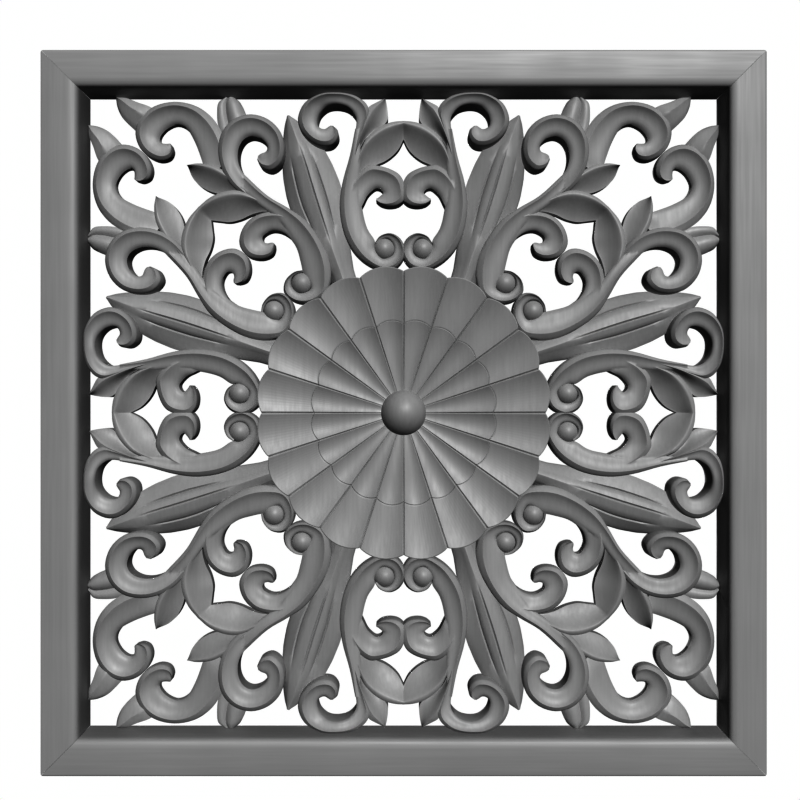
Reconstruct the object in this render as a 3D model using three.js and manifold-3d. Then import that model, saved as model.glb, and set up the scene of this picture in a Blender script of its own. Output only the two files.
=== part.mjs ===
// Square pierced panel: scrolls, leaves and lances carved round a dished rosette, in a plain mitred frame.
// The panel hangs upright: front towards -Y, back on the plane Y = 0, +Z up, origin on the top rail's back.
import * as THREE from "three";
import { mergeVertices } from "three/addons/utils/BufferGeometryUtils.js";
import Module from "manifold-3d";

// Frame sizes, in millimetres
const FRAME_SIDE = 600;
const FRAME_DEPTH = 38;
const MEMBER_WIDTH = 30.9;
const ARRIS_RADIUS = 1.6;
const INNER_ROLL_WIDTH = 8.3;
const INNER_ROLL_DEPTH = 6;
const ROLL_STEPS = 5;
const ARRIS_STEPS = 2;
const MITRE_GAP = 0.3;
const CARVING_GAP = 0.3;
const MERGE_DISTANCE = 1e-4;

// Carving: crest heights over the back, and how far a surface falls from its crest to its lower edge
const TALL_CREST = 24;
const BRANCH_CREST = 19;
const LOW_CREST = 14;
const LANCE_CREST = 15;
const STRAP_FALL = 6;
const LEAF_FALL = 10;
const LANCE_FALL = 10;
const BUD_FALL = 5;
const THINNEST_EDGE = 1;

// The ornament is drawn in thousandths of the carving's half side, round a rosette of this drawn radius
const DRAWN_SIDE = 1000;
const DRAWN_ROSETTE = 457.6;

// Straps: the crest's place as a share of the width from the outer edge, and how far that edge drops
const CREST_SHARE = 0.22;
const OUTER_EDGE_DROP = 2.4;

// Horns, buds and lances: places as shares of the width, drops as shares of the fall
const HORN_OUTER_DROP = 0.6;
const HORN_RIDGE_SHARE = 0.5;
const BUD_LOBE_DROP = 0.4;
const BUD_GROOVE_SHARE = 0.38;
const BUD_GROOVE_DROP = 0.8;
const BUD_RIDGE_SHARE = 0.66;
const LANCE_SHOULDER_SHARE = 0.3;

// Rosette sizes
const PETAL_COUNT = 20;
const PETAL_TIP_RADIUS = 123;
const PETAL_CUSP_DEPTH = 5;
const INNER_TIP_RADIUS = 77.5;
const INNER_CUSP_DEPTH = 3.6;
const ROSETTE_RIM = 31;
const OUTER_DISH_FALL = 5.7;
const TIER_STEP = 0.4;
const TIER_STEP_WIDTH = 0.6;
const INNER_DISH_FALL = 5.6;
const MIDDLE_DISH_SHARE = 0.36;
const RIDGE_RISE = 0.16;
const BOSS_RADIUS = 19;
const BOSS_HEIGHT = 14.5;
const VOLUTE_BALL_RADIUS = 8.4;
const VOLUTE_BALL_RISE = 5.5;
const VOLUTE_BALL_FOOT = 14.5;
const BALL_SIDES = 5;
const BALL_RINGS = 2;
const BOSS_SIDES = 12;
const BOSS_RINGS = 3;
const BOSS_SEAT_SHARE = 0.8;

const openingHalf = FRAME_SIDE / 2 - MEMBER_WIDTH;
const carvingHalf = openingHalf - CARVING_GAP;
const mountHeight = FRAME_SIDE / 2 - MEMBER_WIDTH / 2;

const wasm = await Module();
wasm.setup();

// Joining with manifold-3d
function toSolid(geometry) {
  const bare = geometry.clone();
  bare.deleteAttribute("normal");
  bare.deleteAttribute("uv");
  const merged = mergeVertices(bare, MERGE_DISTANCE);
  return new wasm.Manifold(new wasm.Mesh({
    numProp: 3,
    vertProperties: new Float32Array(merged.attributes.position.array),
    triVerts: new Uint32Array(merged.index.array),
  }));
}

function toGeometry(solid) {
  const mesh = solid.getMesh();
  const geometry = new THREE.BufferGeometry();
  geometry.setAttribute("position", new THREE.BufferAttribute(mesh.vertProperties, 3));
  geometry.setIndex(new THREE.BufferAttribute(mesh.triVerts, 1));
  return geometry;
}

function joinAll(geometries) {
  let level = geometries.map(toSolid);
  while (level.length > 1) {
    const next = [];
    for (let i = 0; i < level.length; i += 2) {
      next.push(i + 1 < level.length ? level[i].add(level[i + 1]) : level[i]);
    }
    level = next;
  }
  return toGeometry(level[0]);
}

// A closed skin over rows of points: each row is one section, wound the same way round
function skin(rows) {
  const count = rows[0].length;
  const positions = rows.flat(2);
  const index = [];
  for (let i = 0; i + 1 < rows.length; i++) {
    for (let j = 0; j < count; j++) {
      const a = i * count + j;
      const b = i * count + ((j + 1) % count);
      index.push(a, b, b + count, a, b + count, a + count);
    }
  }
  // Both ends are closed by a fan from the foot of the outer edge
  const last = (rows.length - 1) * count;
  const foot = count - 1;
  for (let j = 0; j + 1 < foot; j++) {
    index.push(foot, j + 1, j);
    index.push(last + foot, last + j, last + j + 1);
  }
  const geometry = new THREE.BufferGeometry();
  geometry.setAttribute("position", new THREE.Float32BufferAttribute(positions, 3));
  geometry.setIndex(index);
  return geometry;
}

// Sections across a strap: share of the width from the outer edge, and the drop from the crest
const strapSection = (fall) => [[0, OUTER_EDGE_DROP], [CREST_SHARE, 0], [1, fall]];
const leafSection = (fall) => [[0, 0], [1, fall]];
const hornSection = (fall) => [[0, HORN_OUTER_DROP * fall], [HORN_RIDGE_SHARE, 0], [1, fall]];
const budSection = (fall) => [
  [0, BUD_LOBE_DROP * fall],
  [BUD_GROOVE_SHARE, BUD_GROOVE_DROP * fall],
  [BUD_RIDGE_SHARE, 0],
  [1, fall],
];
const lanceSection = (fall) => [
  [0, fall],
  [LANCE_SHOULDER_SHARE, 0],
  [1 - LANCE_SHOULDER_SHARE, 0],
  [1, fall],
];

// Place of a drawn point: the drawing is stretched between the rosette's rim and the carving's outer side
function placed(x, y) {
  const drawn = new THREE.Vector2(x, y);
  const reach = drawn.length();
  const sideReach = reach / Math.max(Math.abs(x), Math.abs(y));
  const share = (reach - DRAWN_ROSETTE) / (sideReach * DRAWN_SIDE - DRAWN_ROSETTE);
  const radius = share < 0
    ? (reach / DRAWN_ROSETTE) * PETAL_TIP_RADIUS
    : THREE.MathUtils.lerp(PETAL_TIP_RADIUS, sideReach * carvingHalf, share);
  return drawn.multiplyScalar(radius / reach);
}

// A strap between two edges. A rung: outer x and y, inner x and y, the crest's share, the fall's share
function strap(piece) {
  const rows = piece.rungs.map(([outerX, outerY, innerX, innerY, crestShare, fallShare]) => {
    const outer = placed(outerX, outerY);
    const inner = placed(innerX, innerY);
    const top = piece.section(piece.fall * fallShare).map(([share, drop]) => {
      const p = outer.clone().lerp(inner, share);
      return [p.x, p.y, Math.max(piece.crest * crestShare - drop, THINNEST_EDGE)];
    });
    return [...top, [inner.x, inner.y, 0], [outer.x, outer.y, 0]];
  });
  return skin(isLeftTurning(piece.rungs) ? rows.reverse() : rows);
}

// The outer edge lies on the right of the way the rungs run where this is true
function isLeftTurning(rungs) {
  const [a, b] = [rungs[1], rungs[2]];
  const along = [b[0] + b[2] - a[0] - a[2], b[1] + b[3] - a[1] - a[3]];
  const across = [a[2] - a[0], a[3] - a[1]];
  return along[0] * across[1] - along[1] * across[0] > 0;
}

// Top motif, left half
const sideHook = {
  crest: TALL_CREST,
  fall: STRAP_FALL,
  section: strapSection,
  rungs: [
    [-211, 882, -236, 902, 0.82, 0.6],
    [-238, 835, -256, 891, 0.97, 1],
    [-310, 872, -269, 915, 1, 1],
    [-320, 946, -254, 945, 1.03, 1],
    [-235, 996, -211, 962, 1.12, 0.83],
    [-120, 974, -152, 926, 1.02, 0.7],
    [-126, 868, -161, 840, 0.92, 0.5],
    [-156, 790, -174, 785, 0.8, 0.33],
  ],
};
const sideVolute = {
  crest: BRANCH_CREST,
  fall: STRAP_FALL,
  section: strapSection,
  rungs: [
    [-158, 847, -130, 840, 1.11, 0.33],
    [-193, 699, -130, 691, 1.11, 0.83],
    [-188, 580, -117, 587, 1.11, 1],
    [-137, 491, -85, 533, 1.05, 1],
    [-45, 437, -59, 485, 1, 0.67],
    [4, 505, -30, 515, 0.95, 0.5],
    [-41, 563, -50, 539, 0.95, 0.33],
  ],
};
const sideBranch = {
  crest: BRANCH_CREST,
  fall: STRAP_FALL,
  section: strapSection,
  rungs: [
    [-164, 721, -125, 660, 0.97, 0.9],
    [-104, 779, -101, 698, 1, 1],
    [-20, 755, -70, 702, 1, 0.9],
    [4, 690, -65, 690, 0.97, 0.75],
    [-30, 651, -73, 682, 0.93, 0.67],
    [-84, 665, -85, 674, 0.85, 0.33],
  ],
};
const sideLeafSmall = {
  crest: BRANCH_CREST,
  fall: LEAF_FALL,
  section: leafSection,
  rungs: [
    [-59, 990, -57, 988, 0.8, 0.4],
    [-112, 950, -54, 921, 1.12, 0.8],
    [-153, 858, -110, 871, 1.15, 0.7],
  ],
};
const sideLeafLarge = {
  crest: BRANCH_CREST,
  fall: LEAF_FALL,
  section: leafSection,
  rungs: [
    [2, 916, 2, 868, 0.95, 0.8],
    [-66, 903, -47, 804, 1, 1.25],
    [-127, 843, -104, 772, 1.02, 1.1],
  ],
};

// Lance between the top motif and the corner motif
const lance = {
  crest: LANCE_CREST,
  fall: LANCE_FALL,
  section: lanceSection,
  rungs: [
    [-368, 940, -358, 938, 0.75, 0.4],
    [-386, 835, -280, 868, 0.98, 0.9],
    [-363, 668, -194, 721, 1, 1],
    [-301, 550, -175, 590, 1, 0.9],
    [-218, 375, -140, 393, 0.95, 0.7],
  ],
};

// Corner motif, upper half
const cornerHook = {
  crest: TALL_CREST,
  fall: STRAP_FALL,
  section: strapSection,
  rungs: [
    [-456, 793, -452, 806, 0.75, 0.33],
    [-424, 763, -433, 814, 0.92, 0.67],
    [-375, 799, -425, 827, 1, 1],
    [-394, 890, -444, 857, 1, 1],
    [-479, 930, -481, 864, 1, 1],
    [-561, 884, -513, 827, 1, 1],
    [-567, 780, -504, 754, 0.92, 0.67],
    [-513, 700, -453, 700, 0.83, 0.5],
  ],
};
const cornerVolute = {
  crest: BRANCH_CREST,
  fall: STRAP_FALL,
  section: strapSection,
  rungs: [
    [-461, 708, -498, 676, 1.11, 0.5],
    [-364, 642, -401, 595, 1.11, 0.67],
    [-279, 569, -342, 522, 1.11, 1],
    [-234, 461, -314, 446, 1.11, 1],
    [-271, 351, -301, 383, 1, 0.67],
    [-357, 353, -342, 381, 0.95, 0.5],
    [-372, 412, -349, 412, 0.95, 0.33],
  ],
};
const cornerBranch = {
  crest: BRANCH_CREST,
  fall: STRAP_FALL,
  section: strapSection,
  rungs: [
    [-357, 624, -346, 541, 1, 1],
    [-446, 624, -398, 564, 1, 1],
    [-511, 557, -438, 552, 1, 1],
    [-479, 481, -437, 531, 0.89, 0.83],
    [-409, 487, -416, 534, 0.89, 0.83],
    [-399, 524, -407, 534, 0.79, 0.5],
  ],
};
const cornerLeafLarge = {
  crest: BRANCH_CREST,
  fall: LEAF_FALL,
  section: leafSection,
  rungs: [
    [-648, 643, -614, 609, 0.89, 0.8],
    [-580, 691, -566, 609, 1, 1.2],
    [-461, 678, -468, 628, 1, 1],
  ],
};
const cornerLeafSmall = {
  crest: BRANCH_CREST,
  fall: LEAF_FALL,
  section: leafSection,
  rungs: [
    [-682, 780, -680, 776, 0.79, 0.5],
    [-626, 784, -650, 731, 1, 1],
    [-530, 738, -551, 690, 1.03, 0.9],
  ],
};
const bud = {
  crest: LOW_CREST,
  fall: BUD_FALL,
  section: budSection,
  rungs: [
    [-567, 997, -533, 997, 0.71, 0.8],
    [-591, 955, -504, 962, 1, 1],
    [-580, 884, -487, 892, 1, 0.8],
  ],
};
const cornerScroll = {
  crest: LOW_CREST,
  fall: STRAP_FALL,
  section: strapSection,
  rungs: [
    [-545, 798, -610, 751, 1, 0.67],
    [-580, 897, -642, 810, 1.07, 0.83],
    [-664, 975, -685, 899, 1.06, 1.17],
    [-787, 972, -752, 901, 1.01, 1.25],
    [-848, 892, -773, 864, 1, 1.17],
    [-807, 802, -755, 852, 0.99, 0.95],
    [-734, 846, -740, 852, 0.77, 0.5],
  ],
};
const horn = {
  crest: LOW_CREST,
  fall: BUD_FALL,
  section: hornSection,
  rungs: [
    [-908, 998, -911, 996, 0.71, 0.6],
    [-851, 986, -894, 941, 0.93, 1],
    [-793, 965, -847, 892, 0.85, 1],
  ],
};

// Middles of the balls in the eyes of the two volutes
const SIDE_BALL = [-60.6, 514.7];
const CORNER_BALL = [-319.6, 406.9];

// A dome on a round stem, for the boss and the volutes' balls
function dome(radius, rise, foot, sides, rings) {
  const profile = [new THREE.Vector2(0, 0), new THREE.Vector2(radius, 0)];
  for (let i = 0; i <= rings; i++) {
    const a = (i / rings) * (Math.PI / 2);
    const r = i === rings ? 0 : radius * Math.cos(a);
    profile.push(new THREE.Vector2(r, foot + rise * Math.sin(a)));
  }
  return new THREE.LatheGeometry(profile, sides).rotateX(Math.PI / 2);
}

// Rosette: two tiers of hollow petals in a dish, with a V groove between petals
const petalTurn = (2 * Math.PI) / PETAL_COUNT;

function rosetteRings() {
  const tierTop = ROSETTE_RIM - OUTER_DISH_FALL;
  const innerTop = tierTop - TIER_STEP;
  const middleRadius = (INNER_TIP_RADIUS + PETAL_TIP_RADIUS) / 2;
  return [
    { radius: BOSS_RADIUS * BOSS_SEAT_SHARE, cusp: 0, trough: innerTop - INNER_DISH_FALL },
    { radius: INNER_TIP_RADIUS, cusp: INNER_CUSP_DEPTH, trough: innerTop },
    { radius: INNER_TIP_RADIUS + TIER_STEP_WIDTH, cusp: INNER_CUSP_DEPTH, trough: tierTop },
    { radius: middleRadius, cusp: 0, trough: tierTop + MIDDLE_DISH_SHARE * OUTER_DISH_FALL },
    { radius: PETAL_TIP_RADIUS, cusp: PETAL_CUSP_DEPTH, trough: ROSETTE_RIM },
  ];
}

function rosette() {
  const columns = [];
  for (let half = 0; half < 2 * PETAL_COUNT; half++) {
    const isRidge = half % 2 === 0;
    const angle = (half * petalTurn) / 2;
    const column = [[0, 0, 0]];
    for (const ring of rosetteRings()) {
      const reach = ring.radius - (isRidge ? ring.cusp : 0);
      const rise = isRidge ? RIDGE_RISE * ring.radius * Math.sin(petalTurn / 2) : 0;
      column.push([reach * Math.cos(angle), reach * Math.sin(angle), ring.trough + rise]);
    }
    const rim = column[column.length - 1];
    column.push([rim[0], rim[1], 0]);
    columns.push(column);
  }
  return spunSkin(columns);
}

// A closed skin over columns that stand round an axis and share their first point, with a flat back
function spunSkin(columns) {
  const height = columns[0].length;
  const index = [];
  columns.forEach((column, i) => {
    const a = i * height;
    const b = ((i + 1) % columns.length) * height;
    for (let j = 1; j + 1 < height; j++) {
      index.push(a + j, a + j + 1, b + j + 1, a + j, b + j + 1, b + j);
    }
    index.push(0, b + height - 1, a + height - 1);
  });
  const hub = columns.length * height;
  columns.forEach((column, i) => {
    const next = ((i + 1) % columns.length) * height;
    index.push(hub, i * height + 1, next + 1);
  });
  const hubHeight = columns[0][1][2];
  const positions = [...columns.flat(2), 0, 0, hubHeight];
  const geometry = new THREE.BufferGeometry();
  geometry.setAttribute("position", new THREE.Float32BufferAttribute(positions, 3));
  geometry.setIndex(index);
  return geometry;
}

// The eight turns and reflections of the square
function squareCopies(geometry) {
  const copies = [];
  for (let quarter = 0; quarter < 4; quarter++) {
    for (const mirrored of [false, true]) {
      const copy = geometry.clone();
      if (mirrored) {
        copy.scale(-1, 1, 1);
        copy.index.array.reverse();
      }
      copies.push(copy.rotateZ((quarter * Math.PI) / 2));
    }
  }
  return copies;
}

function voluteBall(x, y) {
  const place = placed(x, y);
  return dome(VOLUTE_BALL_RADIUS, VOLUTE_BALL_RISE, VOLUTE_BALL_FOOT, BALL_SIDES, BALL_RINGS)
    .translate(place.x, place.y, 0);
}

function carving() {
  const topMotif = [sideHook, sideVolute, sideBranch, sideLeafSmall, sideLeafLarge];
  const cornerCurls = [cornerHook, cornerVolute, cornerBranch, cornerScroll];
  const cornerLeaves = [cornerLeafLarge, cornerLeafSmall, bud, horn];
  const octant = [
    ...[...topMotif, lance, ...cornerCurls, ...cornerLeaves].map(strap),
    voluteBall(...SIDE_BALL),
    voluteBall(...CORNER_BALL),
  ];
  const rosetteFloor = ROSETTE_RIM - OUTER_DISH_FALL - TIER_STEP - INNER_DISH_FALL;
  return joinAll([
    ...octant.flatMap((piece) => squareCopies(piece)),
    rosette(),
    dome(BOSS_RADIUS, BOSS_HEIGHT, rosetteFloor, BOSS_SIDES, BOSS_RINGS),
  ]);
}

// Frame member: the section runs from the outer edge in, and both ends are mitred
function memberProfile() {
  const points = [new THREE.Vector2(0, 0)];
  for (let i = 0; i <= ARRIS_STEPS; i++) {
    const a = (i / ARRIS_STEPS) * (Math.PI / 2);
    points.push(new THREE.Vector2(
      ARRIS_RADIUS * (1 - Math.cos(a)),
      FRAME_DEPTH - ARRIS_RADIUS * (1 - Math.sin(a)),
    ));
  }
  for (let i = 0; i <= ROLL_STEPS; i++) {
    const a = (i / ROLL_STEPS) * (Math.PI / 2);
    points.push(new THREE.Vector2(
      MEMBER_WIDTH - INNER_ROLL_WIDTH * (1 - Math.sin(a)),
      FRAME_DEPTH - INNER_ROLL_DEPTH * (1 - Math.cos(a)),
    ));
  }
  points.push(new THREE.Vector2(MEMBER_WIDTH, 0));
  return new THREE.Shape(points);
}

function frameMember() {
  const bar = new THREE.ExtrudeGeometry(memberProfile(), { depth: 1, bevelEnabled: false, steps: 1 });
  const p = bar.attributes.position;
  for (let i = 0; i < p.count; i++) {
    const inward = p.getX(i);
    const half = FRAME_SIDE / 2 - inward - MITRE_GAP / Math.SQRT2;
    p.setXYZ(i, p.getZ(i) > 0 ? -half : half, FRAME_SIDE / 2 - inward, p.getY(i));
  }
  return bar;
}

// Assembly
const paintedWood = new THREE.MeshStandardMaterial({ color: 0x8c8c8c, roughness: 0.75, metalness: 0 });
const panel = new THREE.Group();
const members = ["frame_top_rail", "frame_left_stile", "frame_bottom_rail", "frame_right_stile"];
members.forEach((name, i) => {
  const mesh = new THREE.Mesh(frameMember(), paintedWood.clone());
  mesh.name = name;
  mesh.rotation.z = (i * Math.PI) / 2;
  panel.add(mesh);
});
const carved = new THREE.Mesh(carving(), paintedWood.clone());
carved.name = "carving";
panel.add(carved);
panel.rotation.x = Math.PI / 2;
panel.position.z = -mountHeight;

const part = new THREE.Group();
part.add(panel);
export default part;
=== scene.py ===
# Carved, pierced panel in a plain mitred frame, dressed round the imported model
import math

import bmesh
import bpy
from mathutils import Matrix, Vector


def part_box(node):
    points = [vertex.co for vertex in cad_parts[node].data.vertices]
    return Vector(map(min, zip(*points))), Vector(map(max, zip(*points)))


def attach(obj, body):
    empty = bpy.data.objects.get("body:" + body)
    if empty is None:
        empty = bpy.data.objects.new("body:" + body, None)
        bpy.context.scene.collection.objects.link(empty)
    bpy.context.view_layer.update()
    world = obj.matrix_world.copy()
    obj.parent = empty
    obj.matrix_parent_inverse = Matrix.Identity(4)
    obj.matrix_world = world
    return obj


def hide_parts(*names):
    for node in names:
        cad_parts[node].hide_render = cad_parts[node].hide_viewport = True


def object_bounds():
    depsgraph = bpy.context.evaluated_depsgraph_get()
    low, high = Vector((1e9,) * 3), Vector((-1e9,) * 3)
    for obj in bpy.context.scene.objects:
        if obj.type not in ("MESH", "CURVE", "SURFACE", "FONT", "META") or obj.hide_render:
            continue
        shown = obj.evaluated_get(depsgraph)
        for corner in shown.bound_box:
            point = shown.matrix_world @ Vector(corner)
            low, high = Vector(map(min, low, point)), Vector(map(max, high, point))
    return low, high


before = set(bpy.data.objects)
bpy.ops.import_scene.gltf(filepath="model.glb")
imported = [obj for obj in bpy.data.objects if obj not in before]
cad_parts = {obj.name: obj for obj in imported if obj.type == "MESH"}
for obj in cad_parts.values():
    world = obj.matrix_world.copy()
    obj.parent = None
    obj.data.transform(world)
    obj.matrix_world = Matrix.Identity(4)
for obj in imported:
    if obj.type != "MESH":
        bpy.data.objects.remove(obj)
cadLow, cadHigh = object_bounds()
print("frame loaded")

# Everything below is drawn flat in millimetres: x to the right, y up, z out of the wall from the back
mm = 0.001
railLow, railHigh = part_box("frame_top_rail")
panelSide = (cadHigh.x - cadLow.x) / mm
panelDepth = (cadHigh.y - cadLow.y) / mm
memberWidth = (railHigh.z - railLow.z) / mm
panelMiddle = (cadLow.z + cadHigh.z) / 2
openingHalf = panelSide / 2 - memberWidth
hangPanel = Matrix(((mm, 0, 0, 0), (0, 0, -mm, 0), (0, mm, 0, panelMiddle), (0, 0, 0, 1)))


# Distances in millimetres under which points count as one
weld = dict(cut=1e-5, petals=0.01, member=0.0005)


def blend(a, b, t):
    return a + (b - a) * t


def toObject(bm, name, sharpDegrees=38, hang=True):
    if hang:
        bmesh.ops.transform(bm, matrix=hangPanel, verts=bm.verts)
    mesh = bpy.data.meshes.new(name)
    bm.to_mesh(mesh)
    bm.free()
    mesh.shade_smooth()
    mesh.set_sharp_from_angle(angle=math.radians(sharpDegrees))
    piece = bpy.data.objects.new(name, mesh)
    bpy.context.scene.collection.objects.link(piece)
    return piece


def sweep(sections):
    # The first section is a face; its rim is extruded from section to section and closed at the end
    bm = bmesh.new()
    rank = bm.verts.layers.int.new("rank")
    for i, point in enumerate(sections[0]):
        bm.verts.new(point)[rank] = i
    rim = bm.faces.new(bm.verts[:]).edges[:]
    for section in sections[1:]:
        grown = bmesh.ops.extrude_edge_only(bm, edges=rim)["geom"]
        fresh = {g for g in grown if isinstance(g, bmesh.types.BMVert)}
        rim = [g for g in grown if isinstance(g, bmesh.types.BMEdge) and fresh.issuperset(g.verts)]
        for v in fresh:
            v.co = section[v[rank]]
    bm.faces.new(sorted(fresh, key=lambda v: v[rank]))
    bmesh.ops.recalc_face_normals(bm, faces=bm.faces)
    return bm


def joinPieces(target, others):
    # Union of closed pieces, which leaves one closed skin
    group = bpy.data.collections.new("operands")
    for o in others:
        group.objects.link(o)
    union = target.modifiers.new("join", "BOOLEAN")
    union.operation = "UNION"
    union.operand_type = "COLLECTION"
    union.collection = group
    union.solver = "MANIFOLD"
    bpy.context.view_layer.update()
    seen = bpy.context.evaluated_depsgraph_get()
    joined = bpy.data.meshes.new_from_object(target.evaluated_get(seen))
    target.modifiers.clear()
    target.data = joined
    for o in list(others):
        bpy.data.objects.remove(o)
    bpy.data.collections.remove(group)
    return target


curve = dict(power=0.5, leastGap=0.1)  # a power of one half keeps tight bends free of loops


def smoothRungs(rungs, steps):
    # Centripetal curve through the rungs, all their numbers together
    rows = [Vector(r) for r in rungs]
    rows = [rows[0] * 2 - rows[1]] + rows + [rows[-1] * 2 - rows[-2]]
    knots = [0.0]
    for a, b in zip(rows, rows[1:]):
        knots.append(knots[-1] + max((b - a).length, curve["leastGap"]) ** curve["power"])
    out = []
    for i in range(1, len(rows) - 2):
        p0, p1, p2, p3 = rows[i - 1:i + 3]
        t0, t1, t2, t3 = knots[i - 1:i + 3]
        last = steps + 1 if i == len(rows) - 3 else steps
        for k in range(last):
            t = blend(t1, t2, k / steps)
            a1 = p0 * ((t1 - t) / (t1 - t0)) + p1 * ((t - t0) / (t1 - t0))
            a2 = p1 * ((t2 - t) / (t2 - t1)) + p2 * ((t - t1) / (t2 - t1))
            a3 = p2 * ((t3 - t) / (t3 - t2)) + p3 * ((t - t2) / (t3 - t2))
            b1 = a1 * ((t2 - t) / (t2 - t0)) + a2 * ((t - t0) / (t2 - t0))
            b2 = a2 * ((t3 - t) / (t3 - t1)) + a3 * ((t - t1) / (t3 - t1))
            out.append(b1 * ((t2 - t) / (t2 - t1)) + b2 * ((t - t1) / (t2 - t1)))
    return out


# Carving. A section across a strap is a list of: share of its width from the outer edge, share of its fall.
straps = dict(
    steps=4,  # sections between two rungs
    drawnHalf=268.2,
    gap=0.1,
    thinnestEdge=1.0,
    # the crest carries a fine bead
    profile=[
        (0, 0.62), (0.04, 0.43), (0.1, 0.26), (0.16, 0.11), (0.195, 0.02), (0.22, -0.03), (0.245, 0.02),
        (0.31, 0.17), (0.4, 0.32), (0.52, 0.45), (0.65, 0.53), (0.78, 0.59), (0.88, 0.69), (0.95, 0.84), (1, 1),
    ],
    leafProfile=[
        (0, 0.18), (0.04, 0.09), (0.1, 0.02), (0.15, 0), (0.2, 0.05), (0.3, 0.23), (0.42, 0.43), (0.56, 0.63),
        (0.7, 0.79), (0.84, 0.91), (0.95, 0.98), (1, 1),
    ],
    flankProfile=[
        (0, 0.3), (0.06, 0.2), (0.16, 0.08), (0.26, 0), (0.32, 0.08), (0.42, 0.34), (0.54, 0.6), (0.66, 0.8),
        (0.78, 0.92), (0.9, 0.99), (1, 1),
    ],
    hornProfile=[
        (0, 0.75), (0.08, 0.55), (0.2, 0.33), (0.32, 0.13), (0.4, 0), (0.48, 0.1), (0.62, 0.3), (0.8, 0.5),
        (0.92, 0.72), (1, 1),
    ],
    budProfile=[
        (0, 0.7), (0.06, 0.48), (0.15, 0.4), (0.25, 0.5), (0.33, 0.85), (0.38, 0.55), (0.48, 0.15), (0.62, 0),
        (0.76, 0.12), (0.9, 0.5), (1, 1),
    ],
)
planScale = (openingHalf - straps["gap"]) / straps["drawnHalf"]


def makeStrap(name, rungs, profile=straps["profile"]):
    sections = []
    for ox, oy, ix, iy, crest, fall in smoothRungs(rungs, straps["steps"]):
        outer, inner = Vector((ox, oy, 0)) * planScale, Vector((ix, iy, 0)) * planScale
        section = []
        for share, drop in profile:
            p = outer.lerp(inner, share)
            p.z = max(crest - drop * fall, straps["thinnestEdge"])
            section.append(p)
        sections.append(section + [inner, outer])
    return toObject(sweep(sections), name, hang=False)


# Top motif, left half. A rung is: outer edge x and y, inner edge x and y, crest height, fall.
sideHook = dict(rungs=[
    (-59, 241, -61.5, 241.8, 18.5, 2.5),
    (-55.5, 237.5, -63.5, 240.5, 20.5, 4),
    (-55.2, 231, -65.5, 239, 22, 5),
    (-60, 225, -67.5, 238.6, 23, 5.6),
    (-68.5, 223.8, -70, 239.4, 23.7, 6),
    (-78, 227.8, -72, 241.5, 24, 6),
    (-86.3, 237, -72.3, 246, 24, 6),
    (-88.5, 247, -70.5, 251, 24.3, 6),
    (-83, 259.5, -66, 255.7, 25, 6),
    (-70, 266.8, -60.5, 258, 26.5, 5.5),
    (-57, 267.8, -53.5, 258, 27, 5),
    (-47, 267.1, -47, 256, 26.3, 5),
    (-38.5, 264.5, -42.3, 252, 25.2, 4.6),
    (-31.5, 259, -39.8, 247.5, 24, 4),
    (-28.8, 252.5, -39.6, 241.5, 23, 3.6),
    (-31, 243, -41.2, 234, 22.2, 3.2),
    (-35, 231.5, -43, 225.5, 21.5, 2.8),
    (-40, 217, -45, 216, 20, 2.2),
    (-45, 203, -47.5, 205, 17, 2),
])
sideVolute = dict(rungs=[
    (-40.5, 238, -37, 238, 21.5, 1.5),
    (-45, 216, -36, 214, 21, 2.5),
    (-51.6, 192, -37, 190, 21, 4.5),
    (-53.7, 172, -34.5, 170, 21, 5.5),
    (-50.3, 151.6, -30.5, 155, 21, 6),
    (-43, 136.8, -24.5, 145.5, 20.5, 6),
    (-31.7, 126, -24, 139, 20, 6),
    (-17.2, 120.4, -18, 130, 19.3, 4.5),
    (-5, 123.5, -10, 132.5, 19.2, 4.6),
    (1.5, 135, -8, 138, 18.8, 5),
    (-2.5, 146.5, -9.5, 143.5, 18.5, 5),
    (-11, 151.3, -13.5, 147, 18.2, 4.4),
    (-19.5, 149, -18, 146.5, 17.8, 3),
    (-24, 143.5, -22.5, 142.5, 17, 1),
])
sideBranch = dict(rungs=[
    (-50, 178, -37, 170, 17.6, 2),
    (-44, 194, -33.5, 177, 18.8, 3),
    (-36, 204, -30.4, 183.3, 19, 5),
    (-28, 208.8, -27, 187, 19, 6),
    (-20, 208, -23.6, 189.4, 19, 6),
    (-10, 204.8, -20.3, 189.1, 19, 5.8),
    (-3, 200, -18.2, 187.5, 19, 5.4),
    (1, 191.5, -17.2, 185.6, 18.7, 5),
    (1.2, 181, -17.6, 184.6, 18.3, 4.4),
    (-4, 175.6, -18.8, 183.6, 17.9, 4),
    (-12, 174, -20.2, 182.4, 17.4, 3.7),
    (-19, 175.6, -21.8, 181.2, 16.8, 3),
    (-23, 178.8, -23, 180.6, 16, 2),
])
sideLeafSmall = dict(rungs=[
    (-15.8, 265.3, -15.2, 264.8, 15, 2.5),
    (-19, 263.2, -14.1, 259.5, 17.5, 4),
    (-24, 260.3, -13.3, 253, 19.5, 5.5),
    (-29, 257, -13.6, 247, 21, 7),
    (-33, 250, -16.8, 242.6, 22, 8),
    (-36, 240, -22.5, 239, 22.3, 8.5),
    (-38.5, 230, -29.5, 233.3, 22, 7),
    (-41, 219, -34.5, 227, 21, 5),
    (-43.5, 208, -40, 214, 19, 3),
])
sideLeafLarge = dict(rungs=[
    (0.6, 245.6, 0.6, 232.6, 18, 7),
    (-7.5, 245, -4.2, 223.3, 18.6, 9),
    (-15, 243, -10, 217.3, 19, 10),
    (-22, 239.3, -16, 213.3, 19.2, 10.5),
    (-29, 233.3, -21.5, 210.8, 19.4, 10),
    (-34, 226, -28, 207, 19.6, 8),
    (-39, 213, -35, 200, 19.4, 5),
    (-43, 200, -40, 189, 18, 2.5),
])

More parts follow.
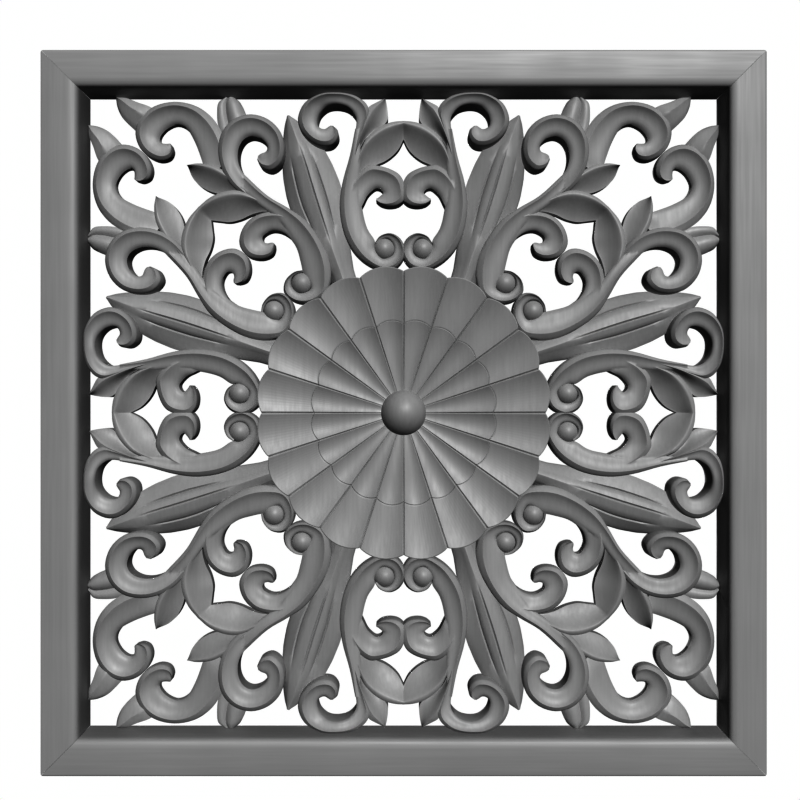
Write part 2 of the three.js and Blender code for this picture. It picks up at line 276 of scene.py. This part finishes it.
# Corner motif, upper half
cornerHook = dict(rungs=[
    (-123, 212.8, -122.4, 216.5, 18, 2),
    (-119.8, 206.8, -120, 218, 20, 3),
    (-111.2, 203.8, -116, 219.5, 22, 4.5),
    (-103, 210, -114.5, 222, 23.5, 5.5),
    (-100, 221, -115.5, 225.5, 24, 6),
    (-103, 235, -119, 229.5, 24, 6),
    (-113.5, 246, -124, 232, 24, 6),
    (-128, 250.3, -129.5, 232.3, 24, 6),
    (-142, 246.5, -135, 229, 24, 6),
    (-152, 236, -138.7, 222, 24, 6),
    (-155.5, 221, -139.3, 213, 23, 5),
    (-153, 206, -136.5, 204, 22, 4),
    (-146, 193, -129.5, 195.5, 20.4, 3.6),
    (-135, 183, -119, 186, 17.5, 3.6),
    (-126, 176, -111, 180, 13, 3),
])
cornerVolute = dict(rungs=[
    (-142.5, 209, -149, 205, 14, 2.5),
    (-131, 197.5, -141, 192, 19, 3),
    (-114, 182, -123, 176, 21, 3.5),
    (-97, 172, -106, 163, 21, 4),
    (-83, 162.5, -97, 149.4, 21, 5.5),
    (-71, 147, -90, 138.5, 21, 6),
    (-63, 130, -86.3, 125.2, 21, 6),
    (-61.2, 115, -84.3, 117, 20.7, 6),
    (-66.3, 99.8, -78, 106, 19.8, 4.8),
    (-79, 92.5, -83, 101.5, 19.3, 4.6),
    (-92, 93.5, -89.5, 101.5, 19, 5),
    (-100.5, 101, -94.5, 107, 18.7, 5),
    (-99.5, 111.5, -94, 113.5, 18.3, 4.4),
    (-92, 118.5, -89.5, 117.3, 17.8, 3),
    (-85, 120, -85, 118.5, 17, 1),
])
cornerBranch = dict(rungs=[
    (-86, 163, -88, 139, 18, 2.2),
    (-99, 169, -95, 147, 18.7, 2.8),
    (-113, 169.5, -103, 152.2, 19, 5),
    (-127, 165, -111, 153.4, 19, 6),
    (-136, 154.5, -117.8, 150.2, 19, 6),
    (-138.3, 142, -119.3, 146.8, 18.3, 5.6),
    (-131.8, 132.2, -117.5, 143.9, 17.6, 5),
    (-120, 129.6, -114.5, 143.2, 17.4, 5),
    (-111.4, 133, -112.4, 143.7, 17, 4.6),
    (-108.9, 138.8, -110.6, 143.7, 16, 3.6),
    (-109.1, 142.5, -110, 143.4, 15, 2.6),
])
cornerLeafLarge = dict(rungs=[
    (-173.8, 172.5, -164.6, 163.3, 17, 7.5),
    (-163, 181.2, -155.8, 162.3, 18.4, 9.5),
    (-150, 186.4, -147.3, 161.6, 19, 10),
    (-138, 186.8, -138, 163.8, 19, 10),
    (-126, 182, -128, 168, 19, 8),
    (-112, 174, -115, 170, 18, 4.5),
    (-100, 168, -102, 166, 16, 2),
])
cornerLeafSmall = dict(rungs=[
    (-182.8, 209, -182.4, 208, 15, 5),
    (-174, 210.1, -178.8, 199.2, 17, 8),
    (-161, 208.4, -170.4, 190.8, 19, 9),
    (-149.5, 202.5, -159.5, 186, 19.7, 9),
    (-141, 194.5, -146, 184.5, 19.6, 7),
    (-131, 187, -134, 183, 18, 4),
    (-120, 180.5, -122, 178, 16, 2),
])
bud = dict(rungs=[
    (-152, 267.9, -143.5, 267.9, 10, 4),
    (-157, 263, -138.5, 263, 12.5, 4.5),
    (-158, 254, -134.5, 254, 14, 5),
    (-157, 243, -130, 243, 14, 4.5),
    (-153, 232, -132, 232, 14, 4),
])
cornerScroll = dict(rungs=[
    (-146, 214, -163.5, 201.5, 14, 4),
    (-150, 227, -168.5, 207.5, 15, 4),
    (-155.5, 240.5, -172, 217, 15, 5),
    (-164.5, 252.1, -176.5, 228.5, 15, 6),
    (-178, 260.6, -183.5, 240.5, 14.8, 7),
    (-194.5, 263.6, -192.5, 244.6, 14.4, 7.6),
    (-211, 260, -201.2, 241.1, 14.2, 7.6),
    (-222.5, 251, -206.2, 235.6, 14, 7),
    (-227.3, 239, -207.2, 231.5, 14, 7),
    (-224.8, 227, -205.2, 229, 14, 6.6),
    (-217.5, 218, -202.8, 228.4, 14, 6),
    (-206.5, 213.4, -200.4, 228.4, 13.6, 5.5),
    (-198.5, 215.6, -199, 228.6, 13, 5),
    (-195.6, 221.5, -198.2, 228.5, 12, 4.3),
    (-196.8, 226.8, -198.4, 228.4, 10.8, 3),
])
horn = dict(rungs=[
    (-243.6, 267.9, -244.4, 266.9, 10, 3),
    (-236, 267.4, -243.2, 260, 12, 4.5),
    (-226, 263.4, -238.8, 250.6, 13, 5),
    (-216, 260, -230.6, 242.4, 12.6, 5),
    (-209, 256, -223, 236, 10, 5),
])

lance = dict(
    axis=[(-98, 252), (-86, 219.3), (-75.9, 186), (-65.1, 152.7), (-52, 114.8), (-48.4, 103)],
    axisSteps=12,
    # along the axis in millimetres from the tip: half width
    swell=[(0, 0.6), (5, 5), (12, 9.2), (22, 14.4), (35, 18.8), (50, 22), (65, 23.6), (78, 23.6), (95, 20.6),
           (115, 16), (140, 11.3), (160, 10.6)],
    crest=[(0, 10), (14, 13.5), (34, 15), (120, 15), (160, 14)],
    fall=10.5,
    fullFallFrom=12,  # half width from which the fall is whole
    # across the axis: share of the half width, share of the fall
    section=[(-1, 1.22), (-0.96, 1.08), (-0.86, 0.87), (-0.7, 0.6), (-0.54, 0.36), (-0.3, 0.14), (0, 0),
             (0.18, 0.1), (0.36, 0.27), (0.6, 0.47), (0.8, 0.66), (0.93, 0.82), (1, 0.95)],
    grooves=[
        dict(side=-0.54, start=30, end=114),
        dict(side=0, start=24, end=119),
        dict(side=0.36, start=30, end=113),
    ],
    grooveDepth=1.8,
    grooveWidth=0.06,  # share of the half width, at each side
    grooveClear=1.3,  # times that width, kept clear of other columns
    fade=26,
    steps=52,
    crowding=1.15,  # above 1, the sections lie closer towards the tip
)


# Even places on both sides of a middle, and how far they reach between two rows of a table
spread = (-1, -0.5, 0, 0.5, 1)
bendShare = 0.25


def alongTable(table, at):
    # Value at a place along a table, with a smooth bend at each of its rows
    at = min(max(at, table[0][0]), table[-1][0])
    reach = bendShare * min(b[0] - a[0] for a, b in zip(table, table[1:]))
    total = 0
    for shift in spread:
        x = min(max(at + shift * reach, table[0][0]), table[-1][0])
        for a, b in zip(table, table[1:]):
            if x <= b[0]:
                total += blend(a[1], b[1], (x - a[0]) / (b[0] - a[0]))
                break
    return total / len(spread)


def lanceColumns():
    # Places across the lance: the bends of its section, and five at each groove
    w = lance["grooveWidth"]
    sides = [g["side"] for g in lance["grooves"]]
    clear = lance["grooveClear"] * w
    columns = [s for s, drop in lance["section"] if min(abs(s - g) for g in sides) > clear]
    for side in sides:
        columns += [side + k * w for k in spread]
    return sorted(columns)


def makeLance():
    line = [Vector((p[0], p[1], 0)) for p in smoothRungs(lance["axis"], lance["axisSteps"])]
    run = [0.0]
    for a, b in zip(line, line[1:]):
        run.append(run[-1] + (b - a).length)
    columns = lanceColumns()
    sections = []
    for k in range(lance["steps"] + 1):
        at = run[-1] * (k / lance["steps"]) ** lance["crowding"]
        i = max(j for j in range(len(run) - 1) if run[j] <= at)
        middle = line[i].lerp(line[i + 1], (at - run[i]) / (run[i + 1] - run[i]))
        ahead = (line[i + 1] - line[i]).normalized()
        side = Vector((-ahead.y, ahead.x, 0))
        half, crest = alongTable(lance["swell"], at), alongTable(lance["crest"], at)
        narrow = min(1, half / lance["fullFallFrom"])
        section = []
        for s in columns:
            height = crest - lance["fall"] * narrow * alongTable(lance["section"], s)
            for g in lance["grooves"]:
                depth = 1 - abs(s - g["side"]) / lance["grooveWidth"]
                if depth > 0:
                    taper = min((at - g["start"]) / lance["fade"], (g["end"] - at) / lance["fade"], 1)
                    height -= lance["grooveDepth"] * depth * max(taper, 0)
            p = (middle + side * (s * half)) * planScale
            section.append(Vector((p.x, p.y, height)))
        left, right = section[0], section[-1]
        sections.append(section + [Vector((right.x, right.y, 0)), Vector((left.x, left.y, 0))])
    return toObject(sweep(sections), "lance", hang=False)


voluteBall = dict(radius=8.6, rise=5.4, top=19.8, sides=20, rings=18, places=[(-16.3, 138.5), (-86, 109.5)])


def makeDome(name, radius, rise, top, x, y, sides, rings):
    # Cap of a ball on a straight stem that reaches the back
    bm = bmesh.new()
    ball = (radius ** 2 + rise ** 2) / (2 * rise)
    bmesh.ops.create_uvsphere(bm, u_segments=sides, v_segments=rings, radius=ball)
    bmesh.ops.bisect_plane(bm, geom=bm.verts[:] + bm.edges[:] + bm.faces[:], dist=weld["cut"],
                           plane_co=(0, 0, ball - rise), plane_no=(0, 0, 1), clear_inner=True)
    bmesh.ops.translate(bm, vec=(x, y, top - ball), verts=bm.verts)
    rim = [e for e in bm.edges if e.is_boundary]
    grown = bmesh.ops.extrude_edge_only(bm, edges=rim)["geom"]
    for v in (g for g in grown if isinstance(g, bmesh.types.BMVert)):
        v.co.z = 0
    bmesh.ops.holes_fill(bm, edges=[e for e in bm.edges if e.is_boundary])
    bmesh.ops.recalc_face_normals(bm, faces=bm.faces)
    return toObject(bm, name, hang=False)


# Rosette: two tiers of hollow petals in a dish
rosette = dict(
    petals=20,
    rim=31.2,
    seatRadius=14,
    # each tier rises at a steady slope and flares up towards its tips
    inner=dict(start=14, tip=77.5, cusp=3.6, slope=0.06, flareFrom=56, flare=0.0038, hollow=0.2, rows=13),
    outer=dict(start=77.5, tip=123, cusp=5.2, slope=0.087, flareFrom=94, flare=0.0021, hollow=0.14, rows=10),
    creaseDepth=0.35, creaseWidth=0.5,
    grooveWidth=1.3, grooveDepth=1.4,  # half width at the rim, and depth, of the cut between two petals
    grooveBend=1.6,
    grooveAtMiddle=0.35, grooveGrowth=0.65,  # shares of that width at the centre, and added out to the rim
    grooveFullFrom=50,  # radius from which the groove is at full depth
    edgePasses=3,  # rounds that settle where a column of points lies on its petal
    # from a petal's edge to its middle: share of the groove's width, share of what is left
    columns=[(0, 0), (0.35, 0), (1, 0), (1, 0.1), (1, 0.26), (1, 0.48), (1, 0.74), (1, 1)],
    rimEase=0.7, rimDrop=0.8,
    edgeShare=0.016,
)
boss = dict(radius=19, rise=14.5, sides=48, rings=32)


def tierRise(tier, radius):
    return tier["slope"] * (radius - tier["start"]) + tier["flare"] * max(0, radius - tier["flareFrom"]) ** 2


outerFoot = rosette["rim"] - tierRise(rosette["outer"], rosette["outer"]["tip"])
innerFoot = outerFoot - tierRise(rosette["inner"], rosette["inner"]["tip"])


def cuspFall(u, halfWidth, depth):
    # How far a petal's round tip falls back at the share u of its half width
    bend = (halfWidth ** 2 + depth ** 2) / (2 * depth)
    return bend - math.sqrt(bend ** 2 - (u * halfWidth) ** 2)


def petalRow(tier, foot, reach, drop, base):
    # One row of points across a petal, at a share of the way from the tier's start to its tip
    halfTurn = math.sin(math.pi / rosette["petals"])
    row = []
    columns = rosette["columns"]
    signed = [(-1, c) for c in columns] + [(1, c) for c in reversed(columns[:-1])]
    for sign, (grooveShare, restShare) in signed:
        u = 0
        for attempt in range(rosette["edgePasses"]):
            begin = base(u)
            fall = cuspFall(u, tier["tip"] * halfTurn, tier["cusp"])
            radius = blend(begin, tier["tip"] - fall, reach)
            half = radius * halfTurn
            growth = rosette["grooveGrowth"] * radius / rosette["outer"]["tip"]
            groove = rosette["grooveWidth"] * (rosette["grooveAtMiddle"] + growth)
            fromEdge = grooveShare * groove + restShare * (half - groove)
            u = sign * (1 - fromEdge / half)
        level = foot + tierRise(tier, radius + fall * reach) + tier["hollow"] * half * u * u - drop
        fullness = min(1, radius / rosette["grooveFullFrom"])
        level -= rosette["grooveDepth"] * (1 - grooveShare) ** rosette["grooveBend"] * fullness
        row.append((radius, u, level))
    return row


def makeRosette():
    r = rosette
    inner, outer = r["inner"], r["outer"]
    halfTurn = math.pi / r["petals"]

    def innerEdge(u):
        return inner["tip"] - cuspFall(u, inner["tip"] * math.sin(halfTurn), inner["cusp"])

    # close rows on both sides of the tiers' edges keep the edges crisp
    reaches = [k / inner["rows"] for k in range(inner["rows"])] + [1 - r["edgeShare"], 1]
    rows = [petalRow(inner, innerFoot, reach, 0, lambda u: r["seatRadius"]) for reach in reaches]
    crease = r["creaseWidth"]
    rows.append(petalRow(outer, outerFoot, 0, r["creaseDepth"], lambda u: innerEdge(u) + crease))
    reaches = [0, r["edgeShare"]] + [k / outer["rows"] for k in range(1, outer["rows"])]
    rows += [petalRow(outer, outerFoot, reach, 0, lambda u: innerEdge(u) + 2 * crease) for reach in reaches]
    ease = r["rimEase"] / (outer["tip"] - inner["tip"])
    rows.append(petalRow(outer, outerFoot, 1 - ease, 0, innerEdge))
    rows.append(petalRow(outer, outerFoot, 1, r["rimEase"] * r["rimDrop"], innerEdge))
    bm = bmesh.new()
    across = len(rows[0]) - 1
    bmesh.ops.create_grid(bm, x_segments=across, y_segments=len(rows) - 1, size=1)
    for v in bm.verts:
        column = round((v.co.x + 1) / 2 * across)
        row = round((v.co.y + 1) / 2 * (len(rows) - 1))
        radius, u, level = rows[row][column]
        angle = halfTurn * (1 + u)
        v.co = (radius * math.cos(angle), radius * math.sin(angle), level)
    petal = bm.verts[:] + bm.edges[:] + bm.faces[:]
    bmesh.ops.spin(bm, geom=petal, cent=(0, 0, 0), axis=(0, 0, 1), steps=r["petals"] - 1,
                   angle=2 * math.pi * (1 - 1 / r["petals"]), use_duplicate=True)
    bmesh.ops.remove_doubles(bm, verts=bm.verts, dist=weld["petals"])
    rim = [e for e in bm.edges if e.is_boundary]
    grown = bmesh.ops.extrude_edge_only(bm, edges=rim)["geom"]
    for v in (g for g in grown if isinstance(g, bmesh.types.BMVert)):
        v.co.z = 0
    outerFeet = [e for e in bm.edges if e.is_boundary]
    bmesh.ops.bridge_loops(bm, edges=outerFeet)
    bmesh.ops.recalc_face_normals(bm, faces=bm.faces)
    return toObject(bm, "rosette", hang=False)


def makeOctant():
    kinds = (
        ("sideHook", sideHook, "profile"),
        ("sideVolute", sideVolute, "profile"),
        ("sideBranch", sideBranch, "profile"),
        ("cornerHook", cornerHook, "profile"),
        ("cornerVolute", cornerVolute, "profile"),
        ("cornerBranch", cornerBranch, "profile"),
        ("cornerScroll", cornerScroll, "profile"),
        ("sideLeafSmall", sideLeafSmall, "flankProfile"),
        ("sideLeafLarge", sideLeafLarge, "leafProfile"),
        ("cornerLeafLarge", cornerLeafLarge, "leafProfile"),
        ("cornerLeafSmall", cornerLeafSmall, "leafProfile"),
        ("bud", bud, "budProfile"),
        ("horn", horn, "hornProfile"),
    )
    pieces = [makeStrap(name, piece["rungs"], straps[profile]) for name, piece, profile in kinds]
    pieces.append(makeLance())
    for x, y in voluteBall["places"]:
        b = voluteBall
        pieces.append(makeDome("ball", b["radius"], b["rise"], b["top"], x * planScale, y * planScale,
                               b["sides"], b["rings"]))
    return joinPieces(pieces[0], pieces[1:])


def makeCarving():
    octant = makeOctant()
    print("octant:", len(octant.data.polygons), "faces")
    copies = []
    for quarter in range(4):
        for flip in (1, -1):
            bm = bmesh.new()
            bm.from_mesh(octant.data)
            bmesh.ops.scale(bm, vec=(flip, 1, 1), verts=bm.verts)
            turn = Matrix.Rotation(quarter * math.pi / 2, 3, "Z")
            bmesh.ops.rotate(bm, cent=(0, 0, 0), matrix=turn, verts=bm.verts)
            if flip < 0:
                bmesh.ops.reverse_faces(bm, faces=bm.faces)
            copies.append(toObject(bm, "copy", hang=False))
    bpy.data.objects.remove(octant)
    bossTop = innerFoot + boss["rise"]
    middle = makeDome("boss", boss["radius"], boss["rise"], bossTop, 0, 0, boss["sides"], boss["rings"])
    whole = joinPieces(makeRosette(), copies + [middle])
    bm = bmesh.new()
    bm.from_mesh(whole.data)
    bpy.data.objects.remove(whole)
    print("carving:", sum(len(f.verts) - 2 for f in bm.faces), "triangles")
    return toObject(bm, "carvedPanel")


# Frame members: a round outer arris, rounded corners, and a roll down to the inner wall
member = dict(
    arris=1.6, arrisSteps=5, corner=2.6, cornerSteps=5,
    # distance from the inner wall, depth under the front
    roll=[(8.3, 0), (6.9, 0.12), (5.7, 0.3), (4.5, 0.6), (3.3, 1), (2.2, 1.7), (1.35, 2.7), (0.7, 4.3),
          (0.3, 7), (0.1, 11), (0, 16)],
    mitreGap=0.12,
)


def memberSection():
    m = member
    points = [(0, 0), (0, panelDepth - m["arris"])]
    for i in range(1, m["arrisSteps"] + 1):
        a = i / m["arrisSteps"] * math.pi / 2
        points.append((m["arris"] * (1 - math.cos(a)), panelDepth - m["arris"] * (1 - math.sin(a))))
    for fromWall, drop in m["roll"]:
        points.append((memberWidth - fromWall, panelDepth - drop))
    points.append((memberWidth, 0))
    return points


def makeMember(name, quarter):
    m = member
    half = panelSide / 2
    profile = memberSection()
    stations = [(half - m["corner"] * (1 - math.sin(a)), m["corner"] * (1 - math.cos(a)))
                for a in (i / m["cornerSteps"] * math.pi / 4 for i in range(m["cornerSteps"] + 1))]
    stations = [(-x, e) for x, e in reversed(stations)] + stations
    sections = []
    for k, (x, ease) in enumerate(stations):
        atEnd = k in (0, len(stations) - 1)
        section = []
        for inward, height in profile:
            inward = max(inward, ease)
            limit = half - inward - m["mitreGap"]
            along = limit if atEnd else min(abs(x), limit)
            section.append(Vector((math.copysign(along, x), half - inward, height)))
        sections.append(section)
    bm = sweep(sections)
    bmesh.ops.remove_doubles(bm, verts=bm.verts, dist=weld["member"])
    bmesh.ops.dissolve_degenerate(bm, dist=weld["member"], edges=bm.edges)
    turn = Matrix.Rotation(quarter * math.pi / 2, 3, "Z")
    bmesh.ops.rotate(bm, cent=(0, 0, 0), matrix=turn, verts=bm.verts)
    bmesh.ops.recalc_face_normals(bm, faces=bm.faces)
    return toObject(bm, name, sharpDegrees=30)


def dress(piece, node, material):
    piece.data.materials.clear()
    piece.data.materials.append(material)
    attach(piece, "root")
    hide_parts(node)


# Finish: matt grey paint over wood, with the grain and fine tool lines just showing through
paint = dict(
    dark=0.338, light=0.368,
    roughnessLow=0.48, roughnessHigh=0.56, specular=0.45,
    patch=14, stipple=900,  # features per metre
    fineDetail=2, stippleShare=0.3,
    grainAcross=430, grainAlong=13, grainDetail=4,
    grainShare=0.55,
    mottleLow=0.35, mottleHigh=0.65,
    bumpDepth=0.0002, bumpStrength=0.2,
)
# Fades of the tool lines: by distance from the centre, and by depth from the wall so that the back has none
flutes = dict(count=280, fadeIn=(0.03, 0.06), fadeOut=(0.116, 0.122), fadeFront=(-0.012, -0.016), share=0.35)


def addNode(tree, kind, *sources, **values):
    # A node with its settings, its inputs joined or set in turn
    made = tree.nodes.new(kind)
    for key, value in values.items():
        setattr(made, key, value)
    for socket, source in zip(made.inputs, sources):
        if isinstance(source, bpy.types.NodeSocket):
            tree.links.new(source, socket)
        elif source is not None:
            socket.default_value = source
    return made.outputs[0]


def addMath(tree, operation, *sources):
    return addNode(tree, "ShaderNodeMath", *sources, operation=operation)


def addRange(tree, source, low, high, toLow, toHigh):
    return addNode(tree, "ShaderNodeMapRange", source, low, high, toLow, toHigh)


def addNoise(tree, place, scale, detail):
    return addNode(tree, "ShaderNodeTexNoise", place, None, scale, detail)


def fluteHeight(tree, place):
    # Fine lines from the boss to the petals' tips
    split = tree.nodes.new("ShaderNodeSeparateXYZ")
    tree.links.new(place, split.inputs[0])
    across = split.outputs["X"]
    up = addMath(tree, "SUBTRACT", split.outputs["Z"], panelMiddle)
    square = addMath(tree, "ADD", addMath(tree, "MULTIPLY", across, across),
                     addMath(tree, "MULTIPLY", up, up))
    radius = addMath(tree, "SQRT", square)
    turn = addMath(tree, "ARCTAN2", across, up)
    wave = addMath(tree, "SINE", addMath(tree, "MULTIPLY", turn, flutes["count"]))
    lines = addRange(tree, wave, -1, 1, 0, 1)
    inside = addRange(tree, radius, *flutes["fadeIn"], 0, 1)
    outside = addRange(tree, radius, *flutes["fadeOut"], 1, 0)
    front = addRange(tree, split.outputs["Y"], *flutes["fadeFront"], 0, 1)
    shown = addMath(tree, "MULTIPLY", inside, outside)
    return addMath(tree, "MULTIPLY", addMath(tree, "MULTIPLY", lines, front), shown)


def paintedWood(name, along, fluted=False):
    material = bpy.data.materials.new(name)
    material.use_nodes = True
    tree = material.node_tree
    shader = tree.nodes["Principled BSDF"]
    place = tree.nodes.new("ShaderNodeTexCoord").outputs["Object"]
    stretch = tree.nodes.new("ShaderNodeMapping")
    tree.links.new(place, stretch.inputs["Vector"])
    for i, axis in enumerate("XYZ"):
        scale = paint["grainAlong"] if axis == along else paint["grainAcross"]
        stretch.inputs["Scale"].default_value[i] = scale
    grain = addNoise(tree, stretch.outputs["Vector"], 1, paint["grainDetail"])
    patch = addNoise(tree, place, paint["patch"], paint["fineDetail"])
    stipple = addNoise(tree, place, paint["stipple"], paint["fineDetail"])
    mottle = addMath(tree, "ADD", addMath(tree, "MULTIPLY", grain, paint["grainShare"]),
                     addMath(tree, "MULTIPLY", patch, 1 - paint["grainShare"]))
    span = (paint["mottleLow"], paint["mottleHigh"])
    tone = addRange(tree, mottle, *span, paint["dark"], paint["light"])
    tree.links.new(tone, shader.inputs["Base Color"])
    sheen = addRange(tree, mottle, *span, paint["roughnessHigh"], paint["roughnessLow"])
    tree.links.new(sheen, shader.inputs["Roughness"])
    height = addMath(tree, "ADD", grain, addMath(tree, "MULTIPLY", stipple, paint["stippleShare"]))
    if fluted:
        lines = addMath(tree, "MULTIPLY", fluteHeight(tree, place), flutes["share"])
        height = addMath(tree, "ADD", height, lines)
    bump = tree.nodes.new("ShaderNodeBump")
    bump.inputs["Strength"].default_value = paint["bumpStrength"]
    bump.inputs["Distance"].default_value = paint["bumpDepth"]
    tree.links.new(height, bump.inputs["Height"])
    tree.links.new(bump.outputs["Normal"], shader.inputs["Normal"])
    shader.inputs["Specular IOR Level"].default_value = paint["specular"]
    return material


carvingPaint = paintedWood("greyPaintCarving", "Z", fluted=True)
railPaint = paintedWood("greyPaintRail", "X")
stilePaint = paintedWood("greyPaintStile", "Z")

dress(makeCarving(), "carving", carvingPaint)
for quarter, side in enumerate(("top_rail", "left_stile", "bottom_rail", "right_stile")):
    node = "frame_" + side
    dress(makeMember(node, quarter), node, stilePaint if quarter % 2 else railPaint)
print("frame members made")

# Stage, lights and camera
stage = dict(floorDrop=0.06, floorHalf=0.7, floorBack=0.06, grey=0.8, roughness=0.9)


def makeFloor():
    bm = bmesh.new()
    bmesh.ops.create_grid(bm, x_segments=1, y_segments=1, size=stage["floorHalf"])
    place = (0, stage["floorBack"] - stage["floorHalf"], cadLow.z - stage["floorDrop"])
    bmesh.ops.translate(bm, vec=place, verts=bm.verts)
    floor = toObject(bm, "floor", hang=False)
    pale = bpy.data.materials.new("palePlaster")
    pale.use_nodes = True
    shader = pale.node_tree.nodes["Principled BSDF"]
    shader.inputs["Base Color"].default_value = (stage["grey"],) * 3 + (1,)
    shader.inputs["Roughness"].default_value = stage["roughness"]
    floor.data.materials.append(pale)
    # the photograph's light has no bounce from below
    floor.visible_diffuse = False
    floor.visible_glossy = False


# The key light throws no shadows, as in the photograph. The two fills are for the views from behind and from
# the left. Both come from behind, and the panel's own shadow keeps them off its front.
suns = [
    dict(name="keyLight", towards=(0.206, -0.874, 0.44), power=4.7, softness=6, shadow=False, glossy=True),
    dict(name="backFill", towards=(-0.1, 0.99, 0.06), power=3.4, softness=20, shadow=True, glossy=False),
    dict(name="sideFill", towards=(-0.97, 0.08, 0.2), power=2.2, softness=5, shadow=True, glossy=False),
]


def makeSun(name, towards, power, softness, shadow, glossy):
    lamp = bpy.data.lights.new(name, "SUN")
    lamp.energy = power
    lamp.angle = math.radians(softness)
    lamp.use_shadow = shadow
    sun = bpy.data.objects.new(name, lamp)
    sun.rotation_euler = Vector(towards).to_track_quat("Z", "Y").to_euler()
    sun.visible_glossy = glossy
    bpy.context.scene.collection.objects.link(sun)


makeFloor()
for sun in suns:
    makeSun(**sun)

world = bpy.data.worlds.new("studio")
bpy.context.scene.world = world
world.use_nodes = True
tree = world.node_tree
backdrop = tree.nodes["Background"]
backdrop.inputs["Color"].default_value = (1, 1, 1, 1)
ray = tree.nodes.new("ShaderNodeLightPath")
tree.links.new(ray.outputs["Is Camera Ray"], backdrop.inputs["Strength"])
bpy.context.scene.view_settings.view_transform = "Raw"

eye = dict(lens=50, sensor=36, place=(-0.003, -0.955, -0.2738))
cameraData = bpy.data.cameras.new("photoView")
cameraData.lens = eye["lens"]
cameraData.sensor_width = eye["sensor"]
camera = bpy.data.objects.new("photoView", cameraData)
camera.location = eye["place"]
camera.rotation_euler = (math.radians(90), 0, 0)
bpy.context.scene.collection.objects.link(camera)
bpy.context.scene.camera = camera
print("stage, lights and camera set")
